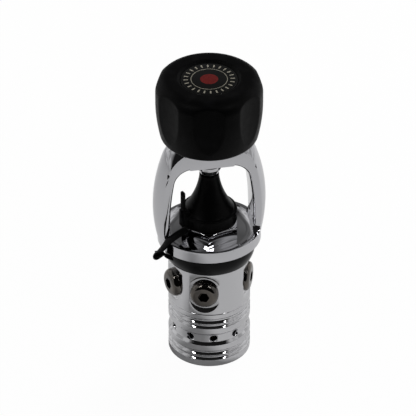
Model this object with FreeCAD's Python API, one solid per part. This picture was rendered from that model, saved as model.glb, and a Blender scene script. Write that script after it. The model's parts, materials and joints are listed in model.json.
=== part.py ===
import FreeCAD, Part
import math
import os

from FreeCAD import Vector

os.makedirs("parts", exist_ok=True)

# Yoke-clamp piston first stage, standing on its piston cap. Millimetres and degrees.
# +Z runs up the axis to the hand knob, the two yoke arms lie along X.

UP = Vector(0, 0, 1)
OUT = Vector(1, 0, 0)

# Clearances
thread_play = 0.05            # a screwed shank in its hole, drawn without the thread
running_play = 0.05           # radial, a piece that slides or turns in a bore
soft_play = 0.3               # rubber of one moving body beside another body
seal_play = 0.1               # an O-ring as it lies in its gland
end_play = 0.05               # face to face, where a moving piece stops
seam_angle = 15.0             # where each O-ring's surface starts
beyond = 1.0                  # how far a cutting shape runs past what it cuts

# Piston cap, the ridged lower cup
shell_radius = 20.0
cap_height = 31.3
cap_floor = 5.5
cap_bore_radius = 15.0
cap_foot_chamfer = 0.8
cap_top_chamfer = 0.8
groove_depth = 1.0
low_band = 3.9                # plain band over the foot, then groove, crest, groove
top_band = 2.7                # plain band under the top edge, then groove, crest, groove
groove_width = 2.6
wide_groove_width = 2.9
crest_width = 0.4
hole_band_radius = 18.8
hole_band_low = 14.0
hole_band_high = 18.2
band_chamfer = 1.4
water_hole_count = 10
water_hole_radius = 2.0
water_hole_start = -94.5
water_hole_lift = 16.0

# Valve body
body_height = 24.0
body_top_chamfer = 0.8
spigot_radius = 17.0
spigot_length = 8.6
spigot_pocket_radius = 13.8
spigot_pocket_depth = 6.5
neck_radius = 16.0
neck_height = 7.2
stem_gland_radius = 6.2
stem_seal_height = 2.0
bushing_sleeve = 3.1
guide_length = 4.0
low_chamber_radius = 5.5
low_chamber_height = 10.6
nozzle_height = 1.6
nozzle_tip_radius = 2.2
nozzle_root_radius = 3.2
orifice_radius = 1.25
orifice_wall = 2.8
high_chamber_radius = 6.5
high_chamber_height = 2.1

# Ports, set out round the axis, all at one height
port_lift = 12.0              # over the cap's top edge
low_port_angles = (-163.5, -108.0, 45.5)
high_port_angles = (-23.0, 118.0)
low_port_radius = 4.7
high_port_radius = 5.5
port_bottom = 12.0            # how far the threaded hole stops from the axis
spot_depth = 1.4
spot_radius = 8.85
spot_cone = 1.75
low_passage_radius = 2.0
high_passage_radius = 1.0
high_passage_rise = 2.5
port_seal_depth = 1.5
port_seal_width = 1.65
low_head_radius = 7.0
high_head_radius = 7.25
low_head_height = 3.8
high_head_height = 2.4
head_rim = 0.8
head_ring_radius = 4.15
dome_out = 0.82               # where the dome is fullest, as a share of its radius
dome_up = 0.62                # and of its height
plug_gap = 0.6                # left under the plug's shank
low_key = 5.0
high_key = 5.0
key_depth = 3.4

# Piston, its seat and its spring
piston_foot_radius = 6.0
piston_foot_height = 0.8
piston_head_height = 4.6
piston_groove_width = 2.3
piston_groove_depth = 2.1
stem_radius = 4.0
stem_bore_radius = 1.5
piston_travel = 1.5
seat_radius = 2.9
seat_height = 2.2
cross_hole_radius = 1.0
cross_hole_drop = 4.0
stem_bore_end = 3.0
shim_height = 0.8
flange_height = 1.5
flange_radius = 12.4
wire_radius = 1.4
spring_radius = 10.2
spring_turns = 4
spring_grind = 0.7            # ground off each end of the wire

# Yoke nut, which holds the yoke to the body and carries the inlet
nut_flats = 27.0
nut_corner = -101.0           # direction of one of its corners
nut_height = 7.3
nut_chamfer = 1.1
nut_face_inset = 0.2
nut_shank_radius = 9.45
nut_shank_gap = 0.4
inlet_face_radius = 9.5
inlet_face_height = 1.6
filter_seat_radius = 7.0
filter_seat_depth = 3.6
filter_bore_radius = 6.0
filter_bore_depth = 15.5
inlet_bore_radius = 4.0
nut_seal_lift = 1.4
nut_seal_width = 2.0
nut_seal_depth = 1.75
filter_flange = 1.5
filter_cone_radius = 5.5
filter_tip_radius = 2.5
filter_cone_height = 10.0
filter_wall = 1.2
circlip_height = 1.0
circlip_bite = 0.5
circlip_width = 1.7
circlip_opening = 50.0

# Yoke
yoke_boss_radius = 15.5
yoke_plate_height = 5.8       # front wall of the base
yoke_floor = 5.4              # under the nut, boss included
rim_over_seat = 2.4           # rim of the base over the nut's seat
plate_long = 25.2
plate_narrowing = 1.8         # how much shorter the oval is across the arms
dish_radius = 22.5
dish_flat_radius = 17.2
dish_bend_out = 0.6
dish_bend_up = 0.5
arm_half_depth = 8.0
arm_widest = 27.6
arm_widest_lift = 20.8
arm_shoulder = 22.4
arm_shoulder_lift = 50.8
arm_corner = 17.0
yoke_rise = 57.3              # top of the yoke over its underside
arm_inset = 0.5               # of the arm's foot from the end of the oval
crease_foot = 22.4
crease_widest = 24.3
crease_shoulder = 21.8
crease_shoulder_lift = 42.0
crease_corner = 11.5
crease_drop = 2.9
window_foot = 19.9
window_widest = 20.3
window_shoulder = 18.4
window_shoulder_drop = 7.5
window_corner = 10.5
crosspiece_height = 12.5
gusset = 2.6
screw_boss_radius = 7.0
screw_boss_height = 1.2
screw_boss_flare = 0.7

# Yoke screw
screw_radius = 6.15
screw_tip_radius = 4.4
screw_tip_height = 3.9
journal_radius = 5.0
journal_gap = 1.0             # of thread over the yoke at rest
journal_length = 16.6
bolt_radius = 2.5
bolt_length = 16.0
bolt_head_radius = 4.5
bolt_head_height = 4.0
bolt_key = 4.0
bolt_key_depth = 2.2
thread_pitch = 1.75
knob_turns = 5.5

# Knob
knob_gap = 2.0                # yoke top to knob
knob_height = 33.0
knob_radius = 25.9
knob_foot_radius = 23.6
knob_foot_round = 1.1
knob_widest_lift = 21.0
knob_shoulder = 6.5
knob_lobes = 7
knob_scallop_radius = 60.0
knob_scallop_half_angle = 17.0
knob_scallop_start = -101.0
knob_rim_radius = 14.9
knob_rim_depth = 1.0
badge_radius = 13.8
badge_height = 1.5
insert_flats = 16.0
insert_lift = 0.5
insert_height = 19.0
knob_hollow_inner = 11.0
knob_hollow_outer = 19.5
knob_hollow_depth = 3.0
bolt_room = 1.0

# Rubber: tether ring, strap and dust cap with its pull tab
ring_foot_radius = 21.0
ring_radius = 22.4
ring_top_radius = 22.0
dust_radius = 13.6
dust_rim_height = 6.4
dust_rim_round = 0.6
dust_foot_radius = 12.4
dust_neck_radius = 4.8
dust_height = 26.8
dust_neck_straight = 1.6
dust_waist_radius = 7.0
dust_waist_lift = 16.2
dust_pocket_play = 0.4
dust_pocket_height = 2.2
lug_angle = -161.0
lug_root = 12.0
lug_reach = 15.6
lug_width = 5.0
lug_height = 9.2
tab_reach = 14.6
tab_width = 2.8
tab_thickness = 1.6
tab_height = 19.6
strap_width = 4.2
strap_thickness = 1.3
strap_heading = 186.0
strap_offset = 8.8            # of the strap's mid plane from the axis
strap_start = 12.6            # along its heading
strap_start_lift = 2.3        # over the nut's top
strap_rim_inset = 0.5         # where it clears the yoke's rim
strap_rim_lift = 0.6
strap_rim_drop = 1.8          # outside the rim, from its top
strap_slack = 1.6             # between the rim and the bends outside it
strap_fold_overhang = 6.1     # past the rim
strap_fold_drop = 4.75        # middle of the fold under the rim
strap_fold_radius = 0.75      # of its mid line: the layers nearly touch
strap_hug = 0.55              # how far the lower layer rises on its way back
strap_end_drop = 3.4          # under the yoke, where it meets the ring

# Heights that follow from the stack
cap_top = cap_height
body_top = cap_top + body_height
neck_top = body_top + neck_height
yoke_under = neck_top + yoke_floor + rim_over_seat - yoke_plate_height
plate_top = yoke_under + yoke_plate_height
nut_seat = neck_top + yoke_floor
nut_top = nut_seat + nut_height
inlet_face = nut_top + inlet_face_height
dust_top = nut_top + dust_height
yoke_top = yoke_under + yoke_rise
window_top = yoke_top - crosspiece_height
screw_tip = dust_top
journal_foot = yoke_top + journal_gap
screw_top = journal_foot + journal_length
knob_foot = yoke_top + knob_gap
knob_top = knob_foot + knob_height
insert_foot = knob_foot + insert_lift
insert_end = insert_foot + insert_height
port_z = cap_top + port_lift
pocket_top = cap_top - spigot_length + spigot_pocket_depth
flange_foot = pocket_top - flange_height
gland_top = pocket_top + bushing_sleeve + stem_seal_height
low_chamber_foot = gland_top + guide_length
low_chamber_top = low_chamber_foot + low_chamber_height
nozzle_tip = low_chamber_top - nozzle_height
high_chamber_foot = low_chamber_top + orifice_wall
high_chamber_top = high_chamber_foot + high_chamber_height
head_foot = cap_floor + piston_foot_height
head_top = head_foot + piston_head_height
shim_top = head_top + shim_height
seat_top = nozzle_tip - piston_travel - end_play
spot_floor = shell_radius - spot_depth
plate_short = plate_long - plate_narrowing
arm_foot = plate_long - arm_inset
strap_rim_run = plate_long - strap_rim_inset
strap_fold_reach = plate_long + strap_fold_overhang


def spun(*steps):
    """Turn a closed half outline round Z. A step is (r, z), or (mid, end) for an arc."""
    first = Vector(steps[0][0], 0, steps[0][1])
    here = first
    edges = []
    for step in steps[1:] + (steps[0],):
        if isinstance(step[0], tuple):
            mid = Vector(step[0][0], 0, step[0][1])
            end = Vector(step[1][0], 0, step[1][1])
            edges.append(Part.Arc(here, mid, end).toShape())
        else:
            end = Vector(step[0], 0, step[1])
            edges.append(Part.LineSegment(here, end).toShape())
        here = end
    return Part.Face(Part.Wire(edges)).revolve(Vector(0, 0, 0), UP, 360)


def drum(radius, low, high):
    return Part.makeCylinder(radius, high - low, Vector(0, 0, low))


def sleeve(outer, inner, low, high):
    return drum(outer, low, high).cut(drum(inner, low, high))


def cone(low_radius, high_radius, low, high):
    return Part.makeCone(low_radius, high_radius, high - low, Vector(0, 0, low))


def o_ring(inner, outer, height):
    section = (outer - inner) / 2
    ring = Part.makeTorus(inner + section, section, Vector(0, 0, height))
    return turned(ring, seam_angle)


def hexagon(flats, low, high, start=0.0):
    reach = flats / math.sqrt(3)
    corners = []
    for i in range(7):
        a = math.radians(start + 60 * i)
        corners.append(Vector(reach * math.cos(a), reach * math.sin(a), low))
    return Part.Face(Part.makePolygon(corners)).extrude(UP * (high - low))


def turned(shape, angle):
    copy = shape.copy()
    copy.rotate(Vector(0, 0, 0), UP, angle)
    return copy


def laid(shape, distance, height):
    """Lay a piece that was made along Z on the +X axis, its zero at this distance."""
    copy = shape.copy()
    copy.rotate(Vector(0, 0, 0), Vector(0, 1, 0), 90)
    copy.translate(Vector(distance, 0, height))
    return copy


def onward(last, end):
    """Middle of the arc that leaves the end of the last edge in its own direction."""
    start = last.valueAt(last.LastParameter)
    heading = last.tangentAt(last.LastParameter)
    chord = end - start
    across = heading - chord * (heading.dot(chord) / chord.dot(chord))
    bow = chord.Length / 2 * math.tan(heading.getAngle(chord) / 2)
    return (start + end) / 2 + across.normalize() * bow


def mirrored_outline(y, foot, widest, shoulder, corner):
    """A wire in the XZ plane at y: up one side through its widest point to the shoulder,
    on round to the corner, then the same on the other side."""
    foot, widest, shoulder, corner = [Vector(x, y, z) for x, z in (foot, widest, shoulder, corner)]
    side = Part.Arc(foot, widest, shoulder).toShape()
    bend = onward(side, corner)
    right = [side, Part.Arc(shoulder, bend, corner).toShape()]
    left = []
    for points in ((corner, bend, shoulder), (shoulder, widest, foot)):
        left.append(Part.Arc(*[Vector(-p.x, y, p.z) for p in points]).toShape())
    top = Part.LineSegment(corner, Vector(-corner.x, y, corner.z)).toShape()
    base = Part.LineSegment(Vector(-foot.x, y, foot.z), foot).toShape()
    return Part.Wire(right + [top] + left + [base])


def keyed(shape, flats, low, high):
    return shape.cut(hexagon(flats, low, high))


def groove_steps(low, width):
    """One ridge groove on the shell, from its lower edge up."""
    deep = (shell_radius - groove_depth, low + width / 2)
    return [(shell_radius, low), (deep, (shell_radius, low + width))]


def piston_cap():
    second = low_band + groove_width + crest_width
    upper = cap_top - top_band - wide_groove_width
    third = upper - crest_width - groove_width
    steps = [(0, 0), (shell_radius - cap_foot_chamfer, 0), (shell_radius, cap_foot_chamfer)]
    steps += groove_steps(low_band, groove_width)
    steps += groove_steps(second, groove_width)
    steps += [(shell_radius, hole_band_low - band_chamfer), (hole_band_radius, hole_band_low)]
    steps += [(hole_band_radius, hole_band_high), (shell_radius, hole_band_high + band_chamfer)]
    steps += groove_steps(third, groove_width)
    steps += groove_steps(upper, wide_groove_width)
    steps += [(shell_radius, cap_top - cap_top_chamfer), (shell_radius - cap_top_chamfer, cap_top)]
    steps += [(0, cap_top)]
    cap = spun(*steps)
    cap = cap.cut(drum(cap_bore_radius, cap_floor, cap_top))
    cap = cap.cut(drum(spigot_radius + thread_play, cap_top - spigot_length, cap_top))
    hole = laid(drum(water_hole_radius, 0, shell_radius), 0, water_hole_lift)
    for i in range(water_hole_count):
        cap = cap.cut(turned(hole, water_hole_start + i * 360 / water_hole_count))
    return cap


def port_cuts(hole_radius, passage):
    """Spot face, seal recess and threaded hole of one port, along +X."""
    wide = spot_radius + spot_cone
    face = spun((0, 0), (spot_radius, 0), (wide, spot_depth), (wide, 3 * spot_depth), (0, 3 * spot_depth))
    bore = spun((0, port_bottom - spot_floor), (hole_radius, port_bottom - spot_floor),
                (hole_radius, -port_seal_depth), (hole_radius + port_seal_width, -port_seal_depth),
                (hole_radius + port_seal_width, spot_depth), (0, spot_depth))
    return [laid(face, spot_floor, port_z), laid(bore, spot_floor, port_z), passage]


def valve_body():
    body = spun((0, cap_top), (shell_radius, cap_top), (shell_radius, body_top - body_top_chamfer),
                (shell_radius - body_top_chamfer, body_top), (neck_radius, body_top),
                (neck_radius, neck_top), (0, neck_top))
    body = body.fuse(drum(spigot_radius, cap_top - spigot_length, cap_top))
    body = body.cut(drum(spigot_pocket_radius, cap_top - spigot_length, pocket_top))
    body = body.cut(drum(stem_gland_radius, pocket_top, gland_top))
    body = body.cut(drum(stem_radius + running_play, gland_top, low_chamber_foot))
    body = body.cut(drum(low_chamber_radius, low_chamber_foot, low_chamber_top))
    body = body.fuse(cone(nozzle_tip_radius, nozzle_root_radius, nozzle_tip, low_chamber_top))
    body = body.cut(drum(orifice_radius, nozzle_tip, high_chamber_foot))
    body = body.cut(drum(high_chamber_radius, high_chamber_foot, high_chamber_top))
    body = body.cut(drum(nut_shank_radius + thread_play, high_chamber_top, neck_top))
    low_passage = laid(drum(low_passage_radius, low_chamber_radius - 1, port_bottom), 0, port_z)
    for angle in low_port_angles:
        for cut in port_cuts(low_port_radius, low_passage):
            body = body.cut(turned(cut, angle))
    foot = Vector(port_bottom + 1, 0, port_z + high_passage_rise)
    head = Vector(high_chamber_radius - 1, 0, (high_chamber_foot + high_chamber_top) / 2)
    run = head - foot
    high_passage = Part.makeCylinder(high_passage_radius, run.Length, foot, run)
    for angle in high_port_angles:
        for cut in port_cuts(high_port_radius, high_passage):
            body = body.cut(turned(cut, angle))
    return body


def plug(hole_radius, head_radius, head_height, key):
    """One port plug along +X: domed button head with a hex socket, on a screwed shank."""
    rim = spot_floor + head_rim
    face = spot_floor + head_height
    dome = (head_radius * dome_out, rim + (face - rim) * dome_up)
    turned_head = spun((0, spot_floor), (head_radius, spot_floor), (head_radius, rim),
                       (dome, (head_ring_radius, face)), (0, face))
    shank = drum(hole_radius - thread_play, port_bottom + plug_gap, spot_floor)
    piece = turned_head.fuse(shank)
    piece = keyed(piece, key, face - key_depth, face)
    return laid(piece, 0, port_z)


def plug_seal(hole_radius):
    inner = hole_radius + seal_play / 2
    outer = hole_radius + port_seal_width - seal_play
    ring = o_ring(inner, outer, 0)
    return laid(ring, spot_floor - port_seal_depth / 2, port_z)


def piston():
    rim = cap_bore_radius - running_play
    groove = head_foot + (piston_head_height - piston_groove_width) / 2
    deep = rim - piston_groove_depth
    piece = spun((0, cap_floor), (piston_foot_radius, cap_floor), (piston_foot_radius, head_foot),
                 (rim, head_foot), (rim, groove), (deep, groove),
                 (deep, groove + piston_groove_width), (rim, groove + piston_groove_width),
                 (rim, head_top), (stem_radius, head_top), (stem_radius, seat_top), (0, seat_top))
    bore_end = seat_top - seat_height - stem_bore_end + 2 * cross_hole_radius
    piece = piece.cut(drum(stem_bore_radius, cap_floor, bore_end))
    piece = piece.cut(drum(seat_radius, seat_top - seat_height, seat_top))
    across = laid(drum(cross_hole_radius, -stem_radius - 1, stem_radius + 1), 0, seat_top - cross_hole_drop)
    return piece.cut(across).cut(turned(across, 90))


def piston_seal():
    rim = cap_bore_radius - running_play
    middle = head_foot + piston_head_height / 2
    return o_ring(rim - piston_groove_depth + running_play, cap_bore_radius - seal_play, middle)


def stem_bushing():
    sleeve_top = pocket_top + bushing_sleeve
    piece = drum(flange_radius, flange_foot, pocket_top)
    piece = piece.fuse(drum(stem_gland_radius - thread_play, pocket_top, sleeve_top))
    return piece.cut(drum(stem_radius + running_play, flange_foot, sleeve_top))


def stem_seal():
    inner = stem_radius + 1.5 * seal_play
    return o_ring(inner, stem_gland_radius - 1.5 * seal_play, gland_top - stem_seal_height / 2)


def main_spring():
    """Open coil on half-turn arcs, ends ground flat on their seats."""
    low = shim_top + wire_radius - spring_grind
    high = flange_foot - wire_radius + spring_grind
    rise = (high - low) / spring_turns

    def at(turn):
        a = 2 * math.pi * turn
        return Vector(spring_radius * math.cos(a), spring_radius * math.sin(a), low + rise * turn)

    edges = []
    for i in range(4 * spring_turns):
        edges.append(Part.Arc(at(i / 4), at(i / 4 + 1 / 8), at((i + 1) / 4)).toShape())
    path = Part.Wire(edges)
    start = edges[0]
    heading = start.tangentAt(start.FirstParameter)
    ring = Part.Wire(Part.Circle(at(0), heading, wire_radius).toShape())
    shell = Part.BRepOffsetAPI.MakePipeShell(path)
    shell.add(ring)
    shell.build()
    shell.makeSolid()
    coil = shell.shape()
    room = drum(spring_radius + 3 * wire_radius, shim_top, flange_foot)
    points = [at(i / 48) for i in range(48 * spring_turns + 1)]
    gaps = []
    for i, p in enumerate(points):
        for q in points[i + 24:]:
            gaps.append(p.distanceToPoint(q))
    print("main spring, least gap to itself", round(min(gaps) - 2 * wire_radius, 2))
    return coil.common(room)


def yoke_nut():
    top_corner = nut_flats / math.sqrt(3)
    shaped = spun((0, nut_seat), (top_corner, nut_seat), (top_corner, nut_top - nut_chamfer),
                  (nut_flats / 2 - nut_face_inset, nut_top), (0, nut_top))
    nut = hexagon(nut_flats, nut_seat, nut_top, nut_corner).common(shaped)
    shank_foot = high_chamber_top + nut_shank_gap
    nut = nut.fuse(drum(inlet_face_radius, nut_top, inlet_face))
    nut = nut.fuse(drum(nut_shank_radius, shank_foot, nut_seat))
    nut = nut.cut(drum(inlet_bore_radius, shank_foot, inlet_face))
    nut = nut.cut(drum(filter_bore_radius, inlet_face - filter_bore_depth, inlet_face))
    nut = nut.cut(drum(filter_seat_radius, inlet_face - filter_seat_depth, inlet_face))
    clip_foot = inlet_face - filter_seat_depth + filter_flange
    nut = nut.cut(drum(filter_seat_radius + circlip_bite, clip_foot, clip_foot + circlip_height))
    seal_foot = shank_foot + nut_seal_lift
    return nut.cut(sleeve(nut_shank_radius + 1, nut_shank_radius - nut_seal_depth,
                          seal_foot, seal_foot + nut_seal_width))


def inlet_seal():
    foot = high_chamber_top + nut_shank_gap + nut_seal_lift
    inner = nut_shank_radius - nut_seal_depth + thread_play / 2
    return o_ring(inner, nut_shank_radius + thread_play / 2, foot + nut_seal_width / 2)


def inlet_filter():
    """Sintered thimble: a flange on the seat and a hollow cone that points down."""
    seat = inlet_face - filter_seat_depth
    tip = seat - filter_cone_height
    radius = filter_seat_radius - running_play
    return spun((0, tip), (filter_tip_radius, tip), (filter_cone_radius, seat), (radius, seat),
                (radius, seat + filter_flange), (filter_cone_radius - filter_wall, seat + filter_flange),
                (filter_tip_radius - filter_wall, tip + filter_wall), (0, tip + filter_wall))


def filter_circlip():
    foot = inlet_face - filter_seat_depth + filter_flange
    outer = filter_seat_radius + circlip_bite - running_play
    ring = sleeve(outer, outer - circlip_width, foot, foot + circlip_height)
    reach = 2 * outer
    side = math.radians(circlip_opening / 2)
    centre = Vector(0, 0, foot)
    across = Vector(0, reach * math.sin(side), 0)
    ahead = centre + Vector(reach * math.cos(side), 0, 0)
    wedge = Part.makePolygon([centre, ahead + across, ahead - across, centre])
    return ring.cut(Part.Face(wedge).extrude(UP * circlip_height))


def crease_outline(y):
    """Outline of the flat front and back of the arms."""
    return mirrored_outline(y, (crease_foot, yoke_under), (crease_widest, yoke_under + arm_widest_lift),
                            (crease_shoulder, yoke_under + crease_shoulder_lift),
                            (crease_corner, yoke_top - crease_drop))


def yoke_arms():
    middle = mirrored_outline(0, (arm_foot, yoke_under), (arm_widest, yoke_under + arm_widest_lift),
                              (arm_shoulder, yoke_under + arm_shoulder_lift), (arm_corner, yoke_top))
    sections = [crease_outline(-arm_half_depth), middle, crease_outline(arm_half_depth)]
    loop = Part.makeLoft(sections, True, False)
    window = mirrored_outline(-2 * arm_half_depth, (window_foot, yoke_under - beyond),
                              (window_widest, yoke_under + arm_widest_lift),
                              (window_shoulder, window_top - window_shoulder_drop),
                              (window_corner, window_top))
    return loop.cut(Part.Face(window).extrude(Vector(0, 4 * arm_half_depth, 0)))


def gusset_web(side, face):
    """Hollow fillet that one flat of an arm stands on, over the rim of the base."""
    hollow = gusset * (1 - math.sqrt(0.5))
    sunk = plate_top - gusset / 10
    wall = arm_half_depth - gusset / 10
    inside = Vector(side * window_foot, face * wall, sunk)
    far = Vector(side * window_foot, face * (arm_half_depth + gusset), sunk)
    bend = Vector(side * window_foot, face * (arm_half_depth + hollow), plate_top + hollow)
    high = Vector(side * window_foot, face * wall, plate_top + gusset)
    arc = Part.Arc(far, bend, high).toShape()
    edges = [Part.LineSegment(inside, far).toShape(), arc, Part.LineSegment(high, inside).toShape()]
    return Part.Face(Part.Wire(edges)).extrude(OUT * side * (plate_long - window_foot))


def yoke_base():
    """Oval base with a dished seat for the nut, its locating boss and the gussets of the arms."""
    oval = Part.Face(Part.Wire(Part.Ellipse(Vector(0, 0, yoke_under), plate_long, plate_short).toShape()))
    base = oval.extrude(UP * yoke_plate_height)
    curve = ((dish_radius + dish_flat_radius) / 2 + dish_bend_out, nut_seat + dish_bend_up)
    dish = spun((0, nut_seat), (dish_flat_radius, nut_seat), (curve, (dish_radius, plate_top)),
                (dish_radius, plate_top + beyond), (0, plate_top + beyond))
    base = base.cut(dish).fuse(drum(yoke_boss_radius, neck_top, yoke_under + beyond))
    front = Part.Face(crease_outline(-plate_short)).extrude(Vector(0, 2 * plate_short, 0))
    room = front.common(oval.extrude(UP * (yoke_plate_height + gusset)))
    for side in (-1, 1):
        for face in (-1, 1):
            base = base.fuse(gusset_web(side, face).common(room))
    return base


def yoke():
    piece = yoke_arms().fuse(yoke_base())
    flare = cone(screw_boss_radius, screw_boss_radius + screw_boss_flare,
                 window_top - screw_boss_height, window_top)
    piece = piece.fuse(flare)
    piece = piece.cut(drum(screw_radius + thread_play, window_top - screw_boss_height, yoke_top + 1))
    return piece.cut(drum(nut_shank_radius + 3 * thread_play, neck_top, nut_seat))


def yoke_screw():
    screw = spun((0, screw_tip), (screw_tip_radius, screw_tip), (screw_radius, screw_tip + screw_tip_height),
                 (screw_radius, journal_foot), (journal_radius, journal_foot),
                 (journal_radius, screw_top), (0, screw_top))
    room = insert_end - bolt_length - bolt_room
    return screw.cut(drum(bolt_radius + running_play, room, screw_top))


def knob_insert():
    insert = hexagon(insert_flats, insert_foot, insert_end)
    insert = insert.cut(drum(journal_radius + running_play, insert_foot, screw_top + end_play))
    return insert.cut(drum(bolt_radius + running_play, insert_foot, insert_end))


def knob_bolt():
    head_end = insert_end + bolt_head_height
    bolt = drum(bolt_head_radius, insert_end, head_end)
    bolt = bolt.fuse(drum(bolt_radius, insert_end - bolt_length, insert_end))
    return keyed(bolt, bolt_key, head_end - bolt_key_depth, head_end)


def knob():
    widest = knob_foot + knob_widest_lift
    sag = knob_radius - knob_foot_radius
    barrel = knob_radius - sag / 4
    shoulder = knob_shoulder * math.sqrt(0.5)
    grip = spun((0, knob_foot), (knob_foot_radius - knob_foot_round, knob_foot),
                (knob_foot_radius, knob_foot + knob_foot_round),
                ((barrel, widest - (knob_widest_lift - knob_foot_round) / 2), (knob_radius, widest)),
                (knob_radius, knob_top - knob_shoulder),
                ((knob_radius - knob_shoulder + shoulder, knob_top - knob_shoulder + shoulder),
                 (knob_radius - knob_shoulder, knob_top)), (0, knob_top))
    half = math.radians(knob_scallop_half_angle)
    chord = knob_radius * math.sin(half)
    reach = knob_radius * math.cos(half) + math.sqrt(knob_scallop_radius ** 2 - chord ** 2)
    scoop_foot = Vector(reach, 0, knob_foot - knob_height / 2)
    scoop = Part.makeCylinder(knob_scallop_radius, 2 * knob_height, scoop_foot)
    for i in range(knob_lobes):
        grip = grip.cut(turned(scoop, knob_scallop_start + i * 360 / knob_lobes))
    badge_foot = knob_top - knob_rim_depth - badge_height
    grip = grip.cut(drum(knob_rim_radius, knob_top - knob_rim_depth, knob_top))
    grip = grip.cut(drum(badge_radius + thread_play, badge_foot, knob_top))
    grip = grip.cut(drum(bolt_head_radius + bolt_room, insert_end, badge_foot))
    grip = grip.cut(hexagon(insert_flats, insert_foot, insert_end))
    grip = grip.cut(drum(screw_radius + bolt_room, knob_foot, insert_foot))
    return grip.cut(sleeve(knob_hollow_outer, knob_hollow_inner, knob_foot, knob_foot + knob_hollow_depth))


def knob_badge():
    top = knob_top - knob_rim_depth
    return drum(badge_radius, top - badge_height, top)


def tether_ring():
    inner = neck_radius + thread_play
    middle = (ring_radius, (body_top + yoke_under) / 2)
    return spun((inner, body_top), (ring_foot_radius, body_top),
                (middle, (ring_top_radius, yoke_under)), (inner, yoke_under))


def dust_cap():
    rim = nut_top + dust_rim_height
    neck = dust_top - dust_neck_straight
    waist = (dust_waist_radius, nut_top + dust_waist_lift)
    cap = spun((0, nut_top), (dust_radius, nut_top), (dust_radius, rim - dust_rim_round),
               (dust_radius - dust_rim_round, rim), (dust_foot_radius, rim - dust_rim_round / 2),
               (waist, (dust_neck_radius, neck)), (dust_neck_radius, dust_top), (0, dust_top))
    lug = Part.makeBox(lug_reach - dust_neck_radius, lug_width, lug_height,
                       Vector(dust_neck_radius, -lug_width / 2, nut_top))
    lug = lug.common(sleeve(lug_reach, lug_root, nut_top, nut_top + lug_height))
    tab = Part.makeBox(tab_thickness, tab_width, tab_height,
                       Vector(tab_reach - tab_thickness / 2, -tab_width / 2, nut_top + soft_play))
    cap = cap.fuse(turned(lug.fuse(tab), lug_angle))
    pocket = drum(inlet_face_radius + dust_pocket_play, nut_top, nut_top + dust_pocket_height)
    return cap.cut(pocket)


def strap_band():
    """Strap before it is trimmed: out over the yoke's rim, folded, and back to the ring."""
    half = strap_thickness / 2
    fold = strap_fold_reach - strap_fold_radius - half
    fold_lift = plate_top - strap_fold_drop
    under_rim = yoke_under - soft_play - half
    start = Vector(strap_start, 0, nut_top + strap_start_lift)
    over_rim = Vector(strap_rim_run, 0, plate_top + strap_rim_lift + half)
    outside = Vector(strap_rim_run + strap_slack, 0, plate_top - strap_rim_drop)
    fold_top = Vector(fold, 0, fold_lift + strap_fold_radius)
    fold_tip = Vector(fold + strap_fold_radius, 0, fold_lift)
    fold_foot = Vector(fold, 0, fold_lift - strap_fold_radius)
    back = Vector(strap_rim_run + strap_slack, 0, fold_foot.z + strap_hug)
    below = Vector(strap_rim_run, 0, under_rim)
    end = Vector(neck_radius, 0, yoke_under - strap_end_drop)
    middle = Part.Wire([Part.LineSegment(start, over_rim).toShape(),
                        Part.LineSegment(over_rim, outside).toShape(),
                        Part.LineSegment(outside, fold_top).toShape(),
                        Part.Arc(fold_top, fold_tip, fold_foot).toShape(),
                        Part.LineSegment(fold_foot, back).toShape(),
                        Part.LineSegment(back, below).toShape(),
                        Part.LineSegment(below, end).toShape()])
    side = middle.makeOffset2D(half, openResult=True)
    band = side.makeOffset2D(-strap_thickness, fill=True, openResult=True)
    band.translate(Vector(0, strap_offset - strap_width / 2, 0))
    band = band.extrude(Vector(0, strap_width, 0))
    return turned(band, strap_heading)


def dust_cap_strap():
    strap = strap_band().cut(drum(ring_radius - 1, 0, yoke_under)).cut(tether_ring())
    return strap.cut(drum(lug_reach + soft_play, nut_top - 1, dust_top))


pieces = {
    "piston_cap": piston_cap(),
    "valve_body": valve_body(),
    "piston": piston(),
    "piston_head_o_ring": piston_seal(),
    "piston_seat": drum(seat_radius - running_play, seat_top - seat_height, seat_top),
    "spring_shim": sleeve(flange_radius, spring_radius - 1.5 * wire_radius, head_top, shim_top),
    "main_spring": main_spring(),
    "stem_bushing": stem_bushing(),
    "stem_o_ring": stem_seal(),
    "yoke_nut": yoke_nut(),
    "inlet_o_ring": inlet_seal(),
    "inlet_filter": inlet_filter(),
    "filter_circlip": filter_circlip(),
    "yoke": yoke(),
    "yoke_screw": yoke_screw(),
    "knob": knob(),
    "knob_insert": knob_insert(),
    "knob_bolt": knob_bolt(),
    "knob_badge": knob_badge(),
    "tether_ring": tether_ring(),
    "dust_cap": dust_cap(),
    "dust_cap_strap": dust_cap_strap(),
}
for i, angle in enumerate(low_port_angles, start=1):
    low_plug = plug(low_port_radius, low_head_radius, low_head_height, low_key)
    pieces[f"low_pressure_plug_{i}"] = turned(low_plug, angle)
    pieces[f"low_pressure_plug_o_ring_{i}"] = turned(plug_seal(low_port_radius), angle)
for i, angle in enumerate(high_port_angles, start=1):
    high_plug = plug(high_port_radius, high_head_radius, high_head_height, high_key)
    pieces[f"high_pressure_plug_{i}"] = turned(high_plug, angle)
    pieces[f"high_pressure_plug_o_ring_{i}"] = turned(plug_seal(high_port_radius), angle)

for name, shape in pieces.items():
    shape.exportStep(f"parts/{name}.step")
    box = shape.BoundBox
    print(name, "solids", len(shape.Solids), "valid", shape.isValid(), "volume", round(shape.Volume, 1),
          "z", round(box.ZMin, 2), round(box.ZMax, 2))
print("screw travel", round(thread_pitch * knob_turns, 3), "mm, cap height overall", round(knob_top, 2))
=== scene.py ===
import json
import math

import bmesh
import bpy
from mathutils import Matrix, Vector


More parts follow.
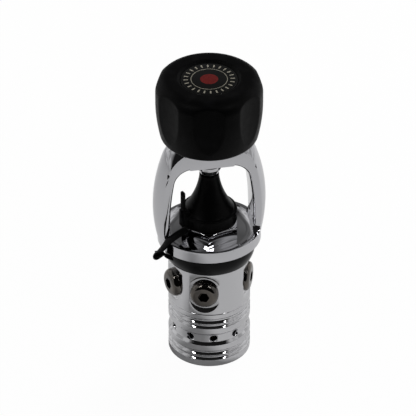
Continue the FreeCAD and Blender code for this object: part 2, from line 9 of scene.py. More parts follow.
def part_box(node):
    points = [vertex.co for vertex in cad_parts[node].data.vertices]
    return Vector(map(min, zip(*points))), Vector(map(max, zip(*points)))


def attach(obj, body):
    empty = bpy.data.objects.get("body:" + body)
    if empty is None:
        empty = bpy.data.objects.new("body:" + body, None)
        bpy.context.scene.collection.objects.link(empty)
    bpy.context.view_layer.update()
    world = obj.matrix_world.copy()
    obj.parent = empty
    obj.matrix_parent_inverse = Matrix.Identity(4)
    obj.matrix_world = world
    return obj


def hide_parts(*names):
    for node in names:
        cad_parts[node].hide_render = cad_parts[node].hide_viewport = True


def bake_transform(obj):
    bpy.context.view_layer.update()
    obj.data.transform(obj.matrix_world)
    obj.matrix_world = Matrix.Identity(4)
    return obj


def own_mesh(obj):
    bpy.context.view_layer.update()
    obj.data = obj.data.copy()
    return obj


# Yoke-clamp first stage on a pale table. Piece sizes are in millimetres, turned to metres by mm.

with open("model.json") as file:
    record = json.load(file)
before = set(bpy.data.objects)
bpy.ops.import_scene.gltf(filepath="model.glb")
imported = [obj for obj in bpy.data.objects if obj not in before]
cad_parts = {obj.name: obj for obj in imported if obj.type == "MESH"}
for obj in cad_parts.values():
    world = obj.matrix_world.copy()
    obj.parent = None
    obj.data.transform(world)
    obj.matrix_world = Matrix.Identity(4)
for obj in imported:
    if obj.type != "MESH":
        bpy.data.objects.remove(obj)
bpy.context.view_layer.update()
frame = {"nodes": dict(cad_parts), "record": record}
nodes = frame["nodes"]
mm = 0.001
up = Vector((0, 0, 1))
weld = 0.002 * mm           # points nearer than this are one
play = 0.05                 # room round a plain thread or a ring, in millimetres
print("frame loaded:", len(nodes), "nodes")


def low(node):
    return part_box(node)[0] / mm


def high(node):
    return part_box(node)[1] / mm


def placed(name, data):
    thing = bpy.data.objects.new(name, data)
    bpy.context.scene.collection.objects.link(thing)
    return thing


# Camera: a long lens from a little left of the front, looking down
shot = {"aim": 80.8, "distance": 2800, "azimuth": -11.0, "elevation": 35.0, "lens": 500.8,
        "shiftX": -0.0029}

cameraData = bpy.data.cameras.new("shotCamera")
camera = placed("shotCamera", cameraData)
azimuth, elevation = math.radians(shot["azimuth"]), math.radians(shot["elevation"])
away = Vector((math.sin(azimuth) * math.cos(elevation), -math.cos(azimuth) * math.cos(elevation),
               math.sin(elevation)))
camera.location = up * shot["aim"] * mm + away * shot["distance"] * mm
camera.rotation_euler = away.to_track_quat("Z", "Y").to_euler()
cameraData.sensor_width = 36
cameraData.lens = shot["lens"]
cameraData.shift_x = shot["shiftX"]
cameraData.clip_end = 50
bpy.context.scene.camera = camera
bpy.context.scene.view_settings.view_transform = "Standard"
print("camera set")


# Materials are written as sums: a Signal is one output of a node tree
class Signal:
    def __init__(self, tree, output):
        self.tree = tree
        self.output = output

    def math(self, operation, *others):
        node = self.tree.nodes.new("ShaderNodeMath")
        node.operation = operation
        for socket, value in zip(node.inputs, (self,) + others):
            plug(self.tree, value, socket)
        return Signal(self.tree, node.outputs[0])

    def __add__(self, other):
        return self.math("ADD", other)

    def __sub__(self, other):
        return self.math("SUBTRACT", other)

    def __rsub__(self, other):
        return (self * -1) + other

    def __mul__(self, other):
        return self.math("MULTIPLY", other)

    def __truediv__(self, other):
        return self.math("DIVIDE", other)

    def __lt__(self, other):
        return self.math("LESS_THAN", other)

    def __gt__(self, other):
        return self.math("GREATER_THAN", other)

    __radd__ = __add__
    __rmul__ = __mul__

    def ramp(self, start, end):              # 0 at start, 1 at end, held outside
        node = self.tree.nodes.new("ShaderNodeMapRange")
        plug(self.tree, self, node.inputs["Value"])
        node.inputs["From Min"].default_value = start
        node.inputs["From Max"].default_value = end
        return Signal(self.tree, node.outputs["Result"])

    def mix(self, first, second):            # first where this is 0, second where it is 1
        node = self.tree.nodes.new("ShaderNodeMix")
        node.data_type = "RGBA"
        plug(self.tree, self, node.inputs["Factor"])
        plug(self.tree, first, node.inputs[6])
        plug(self.tree, second, node.inputs[7])
        return Signal(self.tree, node.outputs[2])


def plug(tree, value, socket):
    if isinstance(value, Signal):
        tree.links.new(value.output, socket)
    elif isinstance(value, tuple) and len(value) == 3 and socket.type == "RGBA":
        socket.default_value = value + (1,)
    else:
        socket.default_value = value


class Finish:
    def __init__(self, name, colour, metallic=0.0, roughness=0.5, specular=0.5, coat=0.0, coatRoughness=0.03):
        self.material = bpy.data.materials.new(name)
        self.material.use_nodes = True
        self.tree = self.material.node_tree
        self.shader = self.tree.nodes["Principled BSDF"]
        self.set("Base Color", colour)
        self.set("Metallic", metallic)
        self.set("Roughness", roughness)
        self.set("Specular IOR Level", specular)
        self.set("Coat Weight", coat)
        self.set("Coat Roughness", coatRoughness)
        place = self.tree.nodes.new("ShaderNodeTexCoord")
        self.place = Signal(self.tree, place.outputs["Object"])
        self.material.diffuse_color = colour + (1,)

    def set(self, socket, value):
        plug(self.tree, value, self.shader.inputs[socket])

    def node(self, kind, result=0, **inputs):
        node = self.tree.nodes.new("ShaderNode" + kind)
        for name, value in inputs.items():
            if name in node.inputs:
                plug(self.tree, value, node.inputs[name])
            else:
                setattr(node, name, value)
        return Signal(self.tree, node.outputs[result])

    def noise(self, size, detail=2.0):       # size of the grain in millimetres
        return self.node("TexNoise", 0, Vector=self.place, Scale=1 / (size * mm), Detail=detail)

    def axis(self, name):
        return self.node("SeparateXYZ", "XYZ".index(name), Vector=self.place)

    def relief(self, height, depth, strength=1.0):   # depth in millimetres
        self.set("Normal", self.node("Bump", 0, Height=height, Distance=depth * mm, Strength=strength))
        return self


def chromeFinish(name, tone, wave, waveDepth):
    plate = Finish(name, tone, metallic=1.0)
    smear = plate.noise(9.0, 3.0).ramp(0.45, 0.75)
    speck = plate.noise(0.9, 4.0).ramp(0.62, 0.72)
    plate.set("Roughness", 0.025 + smear * 0.035 + speck * 0.03)
    return plate.relief(plate.noise(wave, 1.0), waveDepth, 0.6)


chrome = chromeFinish("chromeTurned", (0.56, 0.56, 0.575), 7.0, 0.01)
chromeCast = chromeFinish("chromeCast", (0.54, 0.54, 0.56), 14.0, 0.05)

nickel = Finish("smokedNickel", (0.13, 0.12, 0.11), metallic=1.0)
nickel.set("Roughness", 0.05 + nickel.noise(1.4, 4.0).ramp(0.5, 0.8) * 0.06)
nickel.set("Base Color", nickel.noise(5.0).ramp(0.35, 0.7).mix((0.095, 0.09, 0.085), (0.14, 0.125, 0.11)))


def rubberFinish(name, tone, dusty, roughness, specular, grain, depth):
    rubber = Finish(name, tone, specular=specular)
    dust = rubber.noise(6.0, 4.0).ramp(0.5, 0.8)
    rubber.set("Base Color", dust.mix(tone, dusty))
    rubber.set("Roughness", roughness + rubber.noise(2.5, 3.0).ramp(0.4, 0.7) * 0.08)
    return rubber.relief(rubber.noise(grain, 2.0), depth, 0.7)


knobRubber = rubberFinish("knobRubber", (0.0020, 0.0020, 0.0021), (0.0045, 0.0045, 0.0048),
                          0.40, 0.05, 0.35, 0.05)
capRubber = rubberFinish("capRubber", (0.0018, 0.0018, 0.0019), (0.0035, 0.0035, 0.0038),
                         0.34, 0.06, 0.5, 0.02)
ringRubber = rubberFinish("ringRubber", (0.0015, 0.0015, 0.0016), (0.0025, 0.0025, 0.0028),
                          0.06, 0.12, 1.2, 0.01)
sealRubber = rubberFinish("sealRubber", (0.006, 0.006, 0.006), (0.012, 0.012, 0.012),
                          0.35, 0.4, 0.6, 0.01)

brass = Finish("turnedBrass", (0.72, 0.48, 0.19), metallic=1.0)
brass.set("Roughness", 0.18 + (brass.axis("Z") / (0.25 * mm)).math("SINE") * 0.05)
brass.relief((brass.axis("Z") / (0.12 * mm)).math("SINE"), 0.006)

steel = Finish("satinSteel", (0.56, 0.56, 0.57), metallic=1.0)
steel.set("Roughness", 0.28 + steel.noise(0.5, 3.0) * 0.12)
steel.relief(steel.noise(0.4, 3.0), 0.004)

springSteel = Finish("springSteel", (0.33, 0.33, 0.35), metallic=1.0)
springSteel.set("Roughness", 0.3 + springSteel.noise(0.8, 3.0) * 0.15)

bronze = Finish("sinteredBronze", (0.42, 0.27, 0.13), metallic=1.0, roughness=0.6)
bronze.relief(bronze.node("TexVoronoi", 0, Vector=bronze.place, Scale=1 / (0.35 * mm)), 0.12)

nylon = Finish("whiteNylon", (0.80, 0.78, 0.72), specular=0.4)
nylon.set("Roughness", 0.4 + nylon.noise(1.0, 3.0) * 0.15)

# Badge: generic marks only, a plain dot in a thin ring and a dial of strokes round it
badgeLook = {"dot": 4.3, "ring": 8.7, "ringWidth": 0.28, "strokes": 24, "strokeIn": 10.2, "strokeOut": 12.3,
             "strokeShare": 0.24, "edge": 0.35}
badge = Finish("badgeGloss", (0.003, 0.003, 0.003), roughness=0.16, specular=0.15, coat=0.12)
badgeX, badgeY = badge.axis("X") / mm, badge.axis("Y") / mm
reach = (badgeX * badgeX + badgeY * badgeY).math("SQRT")
turn = badgeY.math("ARCTAN2", badgeX) * (badgeLook["strokes"] / (2 * math.pi))
stroke = ((turn + badgeLook["strokes"]).math("FRACT") - 0.5).math("ABSOLUTE") < badgeLook["strokeShare"] / 2
dial = (reach > badgeLook["strokeIn"]) * (reach < badgeLook["strokeOut"]) * stroke
thinRing = (reach - badgeLook["ring"]).math("ABSOLUTE") < badgeLook["ringWidth"] / 2
cream = (dial + thinRing).math("MINIMUM", 1.0)
worn = badge.noise(0.7, 3.0).ramp(0.3, 0.6)
printed = cream.mix((0.004, 0.004, 0.004), worn.mix((0.16, 0.15, 0.12), (0.26, 0.245, 0.20)))
red = worn.mix((0.07, 0.007, 0.007), (0.11, 0.010, 0.009))
badge.set("Base Color", (reach < badgeLook["dot"]).mix(printed, red))
print("finishes made")


# Modelling helpers
def finished(name, mesh, finish, body, slot, *replaced):
    mesh.name = name
    mesh.materials.clear()
    mesh.materials.append(finish.material)
    piece = placed(name, mesh)
    if body:                                 # a loose piece has none
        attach(piece, body)
    if replaced:
        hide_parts(*replaced)
    return piece


def toMesh(bm, sharpest=32):
    mesh = bpy.data.meshes.new("work")
    bm.to_mesh(mesh)
    bm.free()
    mesh.shade_smooth()
    mesh.set_sharp_from_angle(angle=math.radians(sharpest))
    return mesh


def lathe(outline, steps=192, closed=True):
    # outline holds (radius, height) or (radius, height, rounding), in millimetres
    bm = bmesh.new()
    verts = [bm.verts.new((p[0] * mm, 0, p[1] * mm)) for p in outline]
    for first, second in zip(verts, verts[1:]):
        bm.edges.new((first, second))
    if closed:
        bm.edges.new((verts[-1], verts[0]))
    rounded = sorted({p[2] for p in outline if len(p) > 2})
    corners = {size: [v for v, p in zip(verts, outline) if len(p) > 2 and p[2] == size] for size in rounded}
    for size in rounded:
        bmesh.ops.bevel(bm, geom=corners[size], offset=size * mm, offset_type="OFFSET", affect="VERTICES",
                        segments=5, profile=0.5, material=-1, clamp_overlap=True)
    bmesh.ops.spin(bm, geom=bm.verts[:] + bm.edges[:], cent=(0, 0, 0), axis=(0, 0, 1),
                   angle=2 * math.pi, steps=steps, use_merge=True)
    bmesh.ops.remove_doubles(bm, verts=bm.verts, dist=weld)
    bmesh.ops.recalc_face_normals(bm, faces=bm.faces)
    return bm


def laid(bm, distance, height, angle):
    # lays a piece made along Z on the X axis, then turns it round the object
    place = (Matrix.Rotation(math.radians(angle), 4, "Z")
             @ Matrix.Translation((distance * mm, 0, height * mm))
             @ Matrix.Rotation(math.pi / 2, 4, "Y"))
    bmesh.ops.transform(bm, matrix=place, verts=bm.verts)
    return bm


def carved(mesh, cutters):
    # a mesh with each cutter taken away in turn
    work = placed("work", mesh)
    tools = []
    for bm in cutters:
        tool = placed("tool", toMesh(bm))
        tools.append(tool)
        cut = work.modifiers.new("cut", "BOOLEAN")
        cut.operation = "DIFFERENCE"
        cut.solver = "EXACT"
        cut.object = tool
    made = applied(work)
    for tool in tools:
        bpy.data.objects.remove(tool)
    return made


def applied(work):
    bpy.context.view_layer.update()
    seen = work.evaluated_get(bpy.context.evaluated_depsgraph_get())
    made = bpy.data.meshes.new_from_object(seen)
    bpy.data.objects.remove(work)
    return made


def eased(mesh, width, segments=3, angle=28):
    # breaks the sharp edges of a metal piece
    work = placed("work", mesh)
    ease = work.modifiers.new("ease", "BEVEL")
    ease.width = width * mm
    ease.segments = segments
    ease.angle_limit = math.radians(angle)
    made = applied(work)
    made.shade_smooth()
    made.set_sharp_from_angle(angle=math.radians(40))
    return made


def joined(node):
    bm = bmesh.new()
    bm.from_mesh(nodes[node].data)
    bmesh.ops.remove_doubles(bm, verts=bm.verts, dist=weld)
    return bm


def cadCopy(node, flat=0.3):
    # the node's own triangles, joined up, with its flat faces made whole
    bm = joined(node)
    bmesh.ops.dissolve_limit(bm, angle_limit=math.radians(flat), verts=bm.verts, edges=bm.edges)
    return bm


def moulded(node, voxel, smoothing):
    # a soft-edged rubber moulding in the shape of the node
    work = placed("work", toMesh(joined(node)))
    skin = work.modifiers.new("skin", "REMESH")
    skin.mode = "VOXEL"
    skin.voxel_size = voxel * mm
    mesh = applied(work)
    bm = bmesh.new()
    bm.from_mesh(mesh)
    for _ in range(smoothing):
        bmesh.ops.smooth_vert(bm, verts=bm.verts, factor=0.5, use_axis_x=True, use_axis_y=True,
                              use_axis_z=True)
    return toMesh(bm, 180)


# Piston cap: turned cup with ridges and a ring of water holes
cup = {"floor": 5.5, "bore": 15.0, "foot": 0.8, "lowBand": 3.9, "groove": 2.6, "wideGroove": 2.9,
       "crest": 0.4, "depth": 1.0, "bandLow": 14.0, "bandHigh": 18.2, "bandRadius": 18.8, "bandEdge": 0.2,
       "slope": 1.4, "slopeEdge": 0.3, "topBand": 2.7, "topEdge": 0.5, "spigot": 17.05, "spigotDepth": 8.6,
       "edge": 0.16, "holes": 10, "holeRadius": 2.0, "holeStart": -94.5, "holeHeight": 16.0}
shell, cupTop = high("piston_cap").x, high("piston_cap").z


def hollow(foot, width, steps=7):
    # a groove's round bottom, from its lower edge up
    points = [(shell, foot, cup["edge"])]
    for i in range(1, steps):
        share = i / steps
        points.append((shell - cup["depth"] * math.sin(math.pi * share), foot + width * share))
    return points + [(shell, foot + width, cup["edge"])]


lowerPair = cup["lowBand"] + cup["groove"] + cup["crest"]
topGroove = cupTop - cup["topBand"] - cup["wideGroove"]
upperPair = topGroove - cup["crest"] - cup["groove"]
cupOutline = [(0, 0), (shell, 0, cup["foot"])]
cupOutline += hollow(cup["lowBand"], cup["groove"]) + hollow(lowerPair, cup["groove"])
cupOutline += [(shell, cup["bandLow"] - cup["slope"], cup["slopeEdge"]),
               (cup["bandRadius"], cup["bandLow"], cup["bandEdge"]),
               (cup["bandRadius"], cup["bandHigh"], cup["bandEdge"]),
               (shell, cup["bandHigh"] + cup["slope"], cup["slopeEdge"])]
cupOutline += hollow(upperPair, cup["groove"]) + hollow(topGroove, cup["wideGroove"])
cupOutline += [(shell, cupTop, cup["topEdge"]), (cup["spigot"], cupTop),
               (cup["spigot"], cupTop - cup["spigotDepth"]), (cup["bore"], cupTop - cup["spigotDepth"]),
               (cup["bore"], cup["floor"]), (0, cup["floor"])]
holeCutters = []
for i in range(cup["holes"]):
    drill = bmesh.new()
    bmesh.ops.create_cone(drill, cap_ends=True, segments=40, radius1=cup["holeRadius"] * mm,
                          radius2=cup["holeRadius"] * mm, depth=(shell - cup["bore"] + 4) * mm)
    bearing = cup["holeStart"] + i * 360 / cup["holes"]
    holeCutters.append(laid(drill, (shell + cup["bore"]) / 2, cup["holeHeight"], bearing))
finished("ridgedCap", carved(toMesh(lathe(cupOutline)), holeCutters), chrome, "root", "chrome", "piston_cap")
print("piston cap made")

# Valve body: turned barrel with five spot-faced ports
bodyTop, neckTop = low("tether_ring").z, high("valve_body").z
barrel = {"topEdge": 0.7, "lowEdge": 0.15, "neck": 16.0, "spigot": 17.0, "pocket": 13.8, "pocketTop": 29.2,
          "gland": 6.2, "glandTop": 34.3, "guide": 4.05, "chamber": 5.5, "chamberLow": 38.3,
          "chamberHigh": 48.9, "nozzle": 2.2, "nozzleRoot": 3.2, "nozzleTip": 47.3, "orifice": 1.25,
          "inlet": 6.5, "inletLow": 51.7, "inletHigh": 53.8, "nutBore": 9.5}
ports = {"height": 43.3, "floor": 18.6, "bottom": 12.0, "spot": 8.85, "spotTop": 10.6, "spotDepth": 1.4,
         "sealDepth": 1.5, "sealWidth": 1.65, "lowBore": 4.7, "highBore": 5.5}
portAngles = {"low_pressure_plug_1": -163.5, "low_pressure_plug_2": -108.0, "low_pressure_plug_3": 45.5,
              "high_pressure_plug_1": -23.0, "high_pressure_plug_2": 118.0}
spigotFoot = low("valve_body").z
barrelOutline = [(barrel["spigot"], spigotFoot), (barrel["spigot"], cupTop),
                 (shell, cupTop, barrel["lowEdge"]), (shell, bodyTop, barrel["topEdge"]),
                 (barrel["neck"], bodyTop), (barrel["neck"], neckTop),
                 (barrel["nutBore"], neckTop), (barrel["nutBore"], barrel["inletHigh"]),
                 (barrel["inlet"], barrel["inletHigh"]), (barrel["inlet"], barrel["inletLow"]),
                 (barrel["orifice"], barrel["inletLow"]), (barrel["orifice"], barrel["nozzleTip"]),
                 (barrel["nozzle"], barrel["nozzleTip"]), (barrel["nozzleRoot"], barrel["chamberHigh"]),
                 (barrel["chamber"], barrel["chamberHigh"]), (barrel["chamber"], barrel["chamberLow"]),
                 (barrel["guide"], barrel["chamberLow"]), (barrel["guide"], barrel["glandTop"]),
                 (barrel["gland"], barrel["glandTop"]), (barrel["gland"], barrel["pocketTop"]),
                 (barrel["pocket"], barrel["pocketTop"]), (barrel["pocket"], spigotFoot)]


def portHole(node):
    hole = ports[node.split("_")[0] + "Bore"]
    seal = hole + ports["sealWidth"]
    outline = [(0, ports["bottom"] - ports["floor"]), (hole, ports["bottom"] - ports["floor"]),
               (hole, -ports["sealDepth"]), (seal, -ports["sealDepth"]), (seal, 0), (ports["spot"], 0),
               (ports["spotTop"], ports["spotDepth"]), (ports["spotTop"], 3 * ports["spotDepth"]),
               (0, 3 * ports["spotDepth"])]
    return laid(lathe(outline, 96, closed=False), ports["floor"], ports["height"], portAngles[node])


portCutters = [portHole(node) for node in portAngles]
barrelMesh = carved(toMesh(lathe(barrelOutline)), portCutters)
finished("portBarrel", barrelMesh, chrome, "root", "chrome", "valve_body")
print("valve body made")

# Port plugs: domed buttons with a hex socket
button = {"lowRadius": 7.0, "lowHeight": 3.8, "highRadius": 7.25, "highHeight": 2.4, "rim": 0.8,
          "flat": 4.15, "edge": 0.15, "tipEdge": 0.3, "socket": 5.0, "socketDepth": 3.4, "gap": 0.6}


def domedPlug(node):
    kind = node.split("_")[0]
    radius, height = button[kind + "Radius"], button[kind + "Height"]
    shank = ports[kind + "Bore"] - play
    tip = ports["bottom"] + button["gap"] - ports["floor"]
    outline = [(0, tip), (shank, tip, button["tipEdge"]), (shank, 0), (radius, 0, button["edge"]),
               (radius, button["rim"], button["edge"])]
    steps = 9
    for i in range(1, steps):                # the dome, an upright quarter ellipse
        a = math.pi / 2 * i / steps
        outline.append((button["flat"] + (radius - button["flat"]) * math.cos(a),
                        button["rim"] + (height - button["rim"]) * math.sin(a)))
    outline += [(button["flat"], height), (0, height)]
    bit = bmesh.new()
    bmesh.ops.create_cone(bit, cap_ends=True, segments=6, radius1=button["socket"] / math.sqrt(3) * mm,
                          radius2=button["socket"] / math.sqrt(3) * mm, depth=2 * button["socketDepth"] * mm)
    bmesh.ops.translate(bit, verts=bit.verts, vec=(0, 0, height * mm))
    made = bmesh.new()
    made.from_mesh(carved(toMesh(lathe(outline, 96, closed=False), 30), [bit]))
    return toMesh(laid(made, ports["floor"], ports["height"], portAngles[node]), 30)


for node in portAngles:
    finished("button_" + node, domedPlug(node), nickel, "root", "smoked_nickel", node)
print("port plugs made")

# Tether ring: glossy band round the neck
band = {"foot": 21.0, "top": 22.0, "swell": 0.9, "footEdge": 0.5, "topEdge": 0.4}
ringFoot, ringTop = low("tether_ring").z, high("tether_ring").z
bandOutline = [(barrel["neck"] + play, ringFoot), (band["foot"], ringFoot, band["footEdge"])]
for i in range(1, 8):
    share = i / 8
    radius = band["foot"] + (band["top"] - band["foot"]) * share + band["swell"] * math.sin(math.pi * share)
    bandOutline.append((radius, ringFoot + (ringTop - ringFoot) * share))
bandOutline += [(band["top"], ringTop, band["topEdge"]), (barrel["neck"] + play, ringTop)]
finished("neckBand", toMesh(lathe(bandOutline), 50), ringRubber, "root", "ring_rubber", "tether_ring")

# Yoke, yoke nut and screw
yokeLook = {"windowRound": 1.3, "round": 0.45, "nutRound": 0.18, "deepest": 6.0, "windowHalf": 22.0,
            "windowLow": 73.0, "windowHigh": 112.0, "boss": 10.0, "sharp": 50}
bm = cadCopy("yoke")
rims = []
for edge in bm.edges:
    middle = (edge.verts[0].co + edge.verts[1].co) / 2 / mm
    inWindow = (abs(middle.x) < yokeLook["windowHalf"]
                and yokeLook["windowLow"] < middle.z < yokeLook["windowHigh"]
                and middle.xy.length > yokeLook["boss"])
    if not inWindow or abs(middle.y) <= yokeLook["deepest"] or not edge.is_manifold:
        continue
    if edge.calc_face_angle() > math.radians(yokeLook["sharp"]):
        rims.append(edge)
bmesh.ops.bevel(bm, geom=rims, offset=yokeLook["windowRound"] * mm, offset_type="OFFSET", affect="EDGES",
                segments=5, profile=0.5, material=-1, clamp_overlap=False)
finished("polishedYoke", eased(toMesh(bm), yokeLook["round"]), chromeCast, "root", "chrome", "yoke")
nutMesh = eased(toMesh(cadCopy("yoke_nut")), yokeLook["nutRound"])
finished("inletNut", nutMesh, chrome, "root", "chrome", "yoke_nut")
screw = {"radius": 6.15, "edge": 0.25, "tip": 4.4, "tipHeight": 3.9, "tipEdge": 0.3, "journal": 5.0,
         "journalLow": 122.8, "journalEdge": 0.2, "bore": 2.55, "boreDepth": 13.1}
screwTip, screwTop = low("yoke_screw").z, high("yoke_screw").z
boreFloor = screwTop - screw["boreDepth"]
screwOutline = [(0, screwTip), (screw["tip"], screwTip, screw["tipEdge"]),
                (screw["radius"], screwTip + screw["tipHeight"], screw["edge"]),
                (screw["radius"], screw["journalLow"], screw["journalEdge"]),
                (screw["journal"], screw["journalLow"]), (screw["journal"], screwTop),
                (screw["bore"], screwTop), (screw["bore"], boreFloor), (0, boreFloor)]
screwMesh = toMesh(lathe(screwOutline, closed=False))
finished("clampScrew", screwMesh, chrome, "yoke_screw", "chrome", "yoke_screw")
print("yoke, nut and screw made")

# Rubber mouldings
skins = {"capVoxel": 0.3, "knobVoxel": 0.38, "smoothing": 3}
capMesh = moulded("dust_cap", skins["capVoxel"], skins["smoothing"])
finished("dustCap", capMesh, capRubber, "dust_cap", "cap_rubber", "dust_cap")
knobMesh = moulded("knob", skins["knobVoxel"], skins["smoothing"])
finished("handKnob", knobMesh, knobRubber, "knob", "knob_rubber", "knob")

# Strap: an oval band, folded tight outside the yoke's rim, edge up at the fold
strapLook = {"heading": 186.0, "offset": 8.8, "halfWidth": 2.4, "halfThick": 0.55, "steps": 5,
             "stays": (-23.5, -11.0, 71.0), "follows": (-15.0, -10.0, 76.0)}
strapPath = [(13.6, 77.2, -8), (18.5, 74.9, -8), (23.4, 71.6, -6), (25.6, 68.9, 0), (28.0, 66.9, 16),
             (29.7, 66.0, 34), (30.2, 65.4, 36), (29.7, 64.8, 34), (28.0, 65.2, 16), (26.0, 65.6, 0),
             (24.9, 63.8, 0), (21.6, 61.6, 0)]    # (reach, height, tilt) from the cap's lug to the ring


def alongPath(path, steps):
    # a smooth run through the points, with each point's tilt
    padded = [path[0]] + path + [path[-1]]
    run = []
    for a, b, c, d in zip(padded, padded[1:], padded[2:], padded[3:]):
        for i in range(steps):
            t = i / steps
            run.append(tuple(0.5 * (2 * q + (r - p) * t + (2 * p - 5 * q + 4 * r - s) * t * t
                                    + (3 * q - p - 3 * r + s) * t ** 3) for p, q, r, s in zip(a, b, c, d)))
    return run + [path[-1]]


run = alongPath(strapPath, strapLook["steps"])
stations = []
for i, (reach, lift, tilt) in enumerate(run):
    before, after = run[max(i - 1, 0)], run[min(i + 1, len(run) - 1)]
    slope = math.atan2(after[1] - before[1], after[0] - before[0])
    stations.append(Matrix.Rotation(math.radians(strapLook["heading"]), 4, "Z")
                    @ Matrix.Translation(Vector((reach, strapLook["offset"], lift)) * mm)
                    @ Matrix.Rotation(-slope, 4, "Y") @ Matrix.Rotation(math.radians(tilt), 4, "X"))
bm = bmesh.new()
bmesh.ops.create_circle(bm, cap_ends=True, segments=20, radius=mm)
bmesh.ops.scale(bm, vec=(strapLook["halfThick"], strapLook["halfWidth"], 1), verts=bm.verts)
bmesh.ops.rotate(bm, matrix=Matrix.Rotation(math.pi / 2, 3, "Y"), verts=bm.verts)
bmesh.ops.transform(bm, matrix=stations[0], verts=bm.verts)
front = list(bm.faces)
for last, station in zip(stations, stations[1:]):
    grown = bmesh.ops.extrude_face_region(bm, geom=front, use_keep_orig=last is stations[0])["geom"]
    front = [g for g in grown if isinstance(g, bmesh.types.BMFace)]
    moving = {vert for face in front for vert in face.verts}
    bmesh.ops.transform(bm, matrix=station @ last.inverted(), verts=list(moving))
bmesh.ops.remove_doubles(bm, verts=bm.verts, dist=weld)
bmesh.ops.recalc_face_normals(bm, faces=bm.faces)
strap = finished("capStrap", toMesh(bm, 60), capRubber, None, "cap_rubber", "dust_cap_strap")
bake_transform(strap)

# Main spring: the CAD coil, joined up and smooth-shaded
springMesh = toMesh(cadCopy("main_spring", 0.01), 60)
spring = finished("pistonSpring", springMesh, springSteel, "root", "spring_steel", "main_spring")
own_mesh(spring)
print("rubber pieces made")

badgeLow, badgeHigh = low("knob_badge"), high("knob_badge")
badgeOutline = [(0, badgeLow.z), (badgeHigh.x, badgeLow.z), (badgeHigh.x, badgeHigh.z, badgeLook["edge"]),
                (0, badgeHigh.z)]
dialMesh = toMesh(lathe(badgeOutline, 128, closed=False))
finished("knobDial", dialMesh, badge, "knob", "badge_plastic", "knob_badge")
print("badge made")

# Pieces held inside keep their CAD shape and get their finish
inner = {"brass": brass, "stainless_steel": steel, "sintered_bronze": bronze, "white_nylon": nylon,
         "seal_rubber": sealRubber}
for part in frame["record"]["subparts"]:
    if part["material_slot"] in inner:
        skin = nodes[part["node"]].data.materials
        skin.clear()
        skin.append(inner[part["material_slot"]].material)
print("inner pieces finished")

# Table, world and lamps
tableLook = {"wide": 1.2, "front": 0.24, "back": 3.0, "tone": 0.75, "white": 0.97, "mirrored": 0.02}
bm = bmesh.new()
bmesh.ops.create_grid(bm, x_segments=1, y_segments=1, size=0.5)
bmesh.ops.scale(bm, vec=(2 * tableLook["wide"], tableLook["front"] + tableLook["back"], 1), verts=bm.verts)
bmesh.ops.translate(bm, vec=(0, (tableLook["back"] - tableLook["front"]) / 2, 0), verts=bm.verts)
bmesh.ops.rotate(bm, matrix=Matrix.Rotation(azimuth, 3, "Z"), verts=bm.verts)
table = placed("table", toMesh(bm))
paper = Finish("tablePaper", (tableLook["tone"],) * 3, roughness=0.9, specular=0.1)
glow = paper.tree.nodes.new("ShaderNodeEmission")
blendIn = paper.tree.nodes.new("ShaderNodeMixShader")
rays = paper.tree.nodes.new("ShaderNodeLightPath")
seen = Signal(paper.tree, rays.outputs["Is Camera Ray"]) * tableLook["white"]
mirrored = (Signal(paper.tree, rays.outputs["Is Glossy Ray"])
            + Signal(paper.tree, rays.outputs["Is Transmission Ray"]))
plug(paper.tree, seen + mirrored * tableLook["mirrored"], blendIn.inputs[0])
paper.tree.links.new(paper.shader.outputs[0], blendIn.inputs[1])
paper.tree.links.new(glow.outputs[0], blendIn.inputs[2])
paper.tree.links.new(blendIn.outputs[0], paper.tree.nodes["Material Output"].inputs["Surface"])
table.data.materials.append(paper.material)

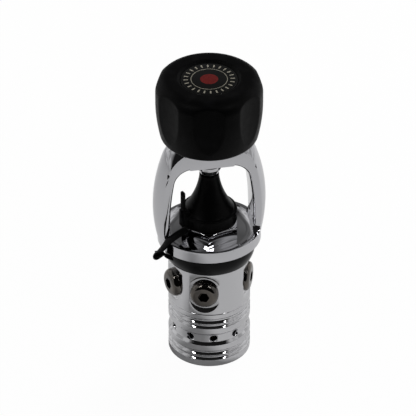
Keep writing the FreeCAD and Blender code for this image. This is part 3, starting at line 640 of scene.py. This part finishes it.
world = bpy.data.worlds.new("studio")
bpy.context.scene.world = world
world.use_nodes = True
sky = world.node_tree
direction = Signal(sky, sky.nodes.new("ShaderNodeTexCoord").outputs["Generated"])
split = sky.nodes.new("ShaderNodeSeparateXYZ")
plug(sky, direction, split.inputs[0])
climb = Signal(sky, split.outputs["Z"])
skyX, skyY = Signal(sky, split.outputs["X"]), Signal(sky, split.outputs["Y"])
level = (skyX * skyX + skyY * skyY).math("SQRT") + 0.001
ahead = (skyX * math.sin(azimuth) - skyY * math.cos(azimuth)) / level    # 1 on the camera's side
room = {"dark": 0.012, "wall": 0.85, "side": 0.62, "ceiling": 0.02, "behind": 0.70, "streaks": 0.35,
        "sideEdge": (0.66, 0.48), "wallEdge": (0.1, -0.4), "behindEdge": (-0.80, -0.93),
        "streakEdge": (0.44, 0.53), "ceilingEdge": (0.66, 0.82), "patchScale": 4}
walls = ahead.ramp(*room["sideEdge"]) * room["side"]
walls = walls + ahead.ramp(*room["wallEdge"]) * (room["wall"] - room["side"])
patches = sky.nodes.new("ShaderNodeTexNoise")
plug(sky, direction, patches.inputs["Vector"])
patches.inputs["Scale"].default_value = room["patchScale"]
patches.inputs["Detail"].default_value = 1
walls = walls - ahead.ramp(*room["behindEdge"]) * room["behind"]
streaks = Signal(sky, patches.outputs[0]).ramp(*room["streakEdge"]) * room["streaks"]
walls = walls * (streaks + (1 - room["streaks"]))
walls = climb.ramp(*room["ceilingEdge"]).mix(walls + room["dark"], (room["ceiling"],) * 3)
direct = Signal(sky, sky.nodes.new("ShaderNodeLightPath").outputs["Is Camera Ray"])
plug(sky, direct.mix(walls, (1.0, 1.0, 1.0)), sky.nodes["Background"].inputs["Color"])

lamps = [  # name, azimuth from the front, elevation, distance, width, height, watts, seen in gloss
    ("lampLeft", -60, 47, 1.2, 0.08, 0.55, 1.5, True),
    ("lampRight", 38, 49, 1.2, 0.07, 0.55, 1.3, True),
    ("softBack", 140, 50, 1.3, 0.45, 0.45, 13.5, False),
]
for name, side, climbAngle, distance, width, height, watts, inGloss in lamps:
    light = bpy.data.lights.new(name, "AREA")
    light.shape = "RECTANGLE"
    light.size, light.size_y = width, height
    light.energy = watts
    lamp = placed(name, light)
    a, e = math.radians(side), math.radians(climbAngle)
    toward = Vector((math.sin(a) * math.cos(e), -math.cos(a) * math.cos(e), math.sin(e)))
    lamp.location = up * shot["aim"] * mm + toward * distance
    lamp.rotation_euler = toward.to_track_quat("Z", "Y").to_euler()
    lamp.visible_glossy = inGloss
print("table, world and lamps set")
